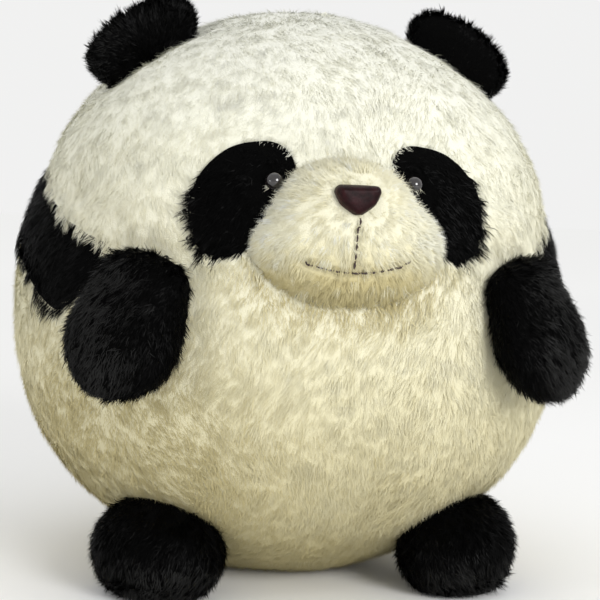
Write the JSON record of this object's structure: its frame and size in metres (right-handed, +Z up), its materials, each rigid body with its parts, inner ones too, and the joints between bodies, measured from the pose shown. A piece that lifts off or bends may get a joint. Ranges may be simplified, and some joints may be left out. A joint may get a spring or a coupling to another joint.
{
  "type": "plush panda",
  "caption": "Ball-shaped long-pile plush panda with a bulging muzzle, small flat ears, stuffed arms and feet, and a short tail.",
  "frame": {"origin": "middle of the flat base panel that it rests on", "axes": "+Z up, the panda faces -Y and its own left is +X"},
  "size_m": [0.368, 0.4179, 0.3759],
  "materials": {
    "white_plush": "long soft pile, cream white",
    "black_plush": "long soft pile, black",
    "nose_satin": "satin weave, dark brown",
    "eye_plastic": "polished",
    "washer_plastic": "moulded",
    "thread": "embroidery thread",
    "closing_thread": "sewing thread",
    "fibre_stuffing": "loose polyester fibre",
    "label_tape": "woven tape, blank"
  },
  "bodies": {
    "torso": {"body_fill": "fibre_stuffing", "head_front_panel": "white_plush", "head_back_left": "white_plush", "head_back_right": "white_plush", "shoulder_band_left": "black_plush", "shoulder_band_right": "black_plush", "belly_panel": "white_plush", "lower_back_left": "white_plush", "lower_back_right": "white_plush", "base_panel": "white_plush", "muzzle_left": "white_plush", "muzzle_right": "white_plush", "muzzle_fill": "fibre_stuffing", "nose_cover": "nose_satin", "nose_fill": "fibre_stuffing", "mouth_stitch": "thread", "smile_stitch": "thread", "care_label": "label_tape", "closing_thread": "closing_thread", "eye_patch_left": "black_plush", "eye_left": "eye_plastic", "eye_washer_left": "washer_plastic", "eye_patch_right": "black_plush", "eye_right": "eye_plastic", "eye_washer_right": "washer_plastic"},
    "ear_left": {"ear_front_left": "black_plush", "ear_back_left": "black_plush"},
    "arm_left": {"arm_outer_left": "black_plush", "arm_inner_left": "black_plush", "arm_fill_left": "fibre_stuffing"},
    "foot_left": {"foot_upper_left": "black_plush", "foot_sole_left": "black_plush", "foot_fill_left": "fibre_stuffing"},
    "ear_right": {"ear_front_right": "black_plush", "ear_back_right": "black_plush"},
    "arm_right": {"arm_outer_right": "black_plush", "arm_inner_right": "black_plush", "arm_fill_right": "fibre_stuffing"},
    "foot_right": {"foot_upper_right": "black_plush", "foot_sole_right": "black_plush", "foot_fill_right": "fibre_stuffing"},
    "tail": {"tail_top": "black_plush", "tail_under": "black_plush", "tail_fill": "fibre_stuffing"}
  },
  "joints": [
    {"name": "ear_hinge_left", "type": "hinge", "parent": "torso", "child": "ear_left", "pos_m": [0.10038, -0.02689, 0.34192], "axis": [0.8397, 0, -0.543], "range_deg": [-25, 30], "stiffness_Nm_per_rad": 0.02},
    {"name": "arm_hinge_left", "type": "hinge", "parent": "torso", "child": "arm_left", "pos_m": [0.11608, -0.15404, 0.20289], "axis": [-0.784, -0.5908, -0.1908], "range_deg": [0, 50], "stiffness_Nm_per_rad": 0.1},
    {"name": "foot_twist_left", "type": "hinge", "parent": "torso", "child": "foot_left", "pos_m": [0.08871, -0.08718, 0.04382], "axis": [0.4683, -0.4602, -0.7542], "range_deg": [-12, 12], "stiffness_Nm_per_rad": 0.15},
    {"name": "ear_hinge_right", "type": "hinge", "parent": "torso", "child": "ear_right", "pos_m": [-0.10038, -0.02689, 0.34192], "axis": [0.8397, 0, 0.543], "range_deg": [-25, 30], "stiffness_Nm_per_rad": 0.02},
    {"name": "arm_hinge_right", "type": "hinge", "parent": "torso", "child": "arm_right", "pos_m": [-0.11608, -0.15404, 0.20289], "axis": [-0.784, 0.5908, 0.1908], "range_deg": [0, 50], "stiffness_Nm_per_rad": 0.1},
    {"name": "foot_twist_right", "type": "hinge", "parent": "torso", "child": "foot_right", "pos_m": [-0.08871, -0.08718, 0.04382], "axis": [-0.4683, -0.4602, -0.7542], "range_deg": [-12, 12], "stiffness_Nm_per_rad": 0.15},
    {"name": "tail_hinge", "type": "hinge", "parent": "torso", "child": "tail", "pos_m": [0, 0.18199, 0.10566], "axis": [1, 0, 0], "range_deg": [-20, 20], "stiffness_Nm_per_rad": 0.04}
  ]
}
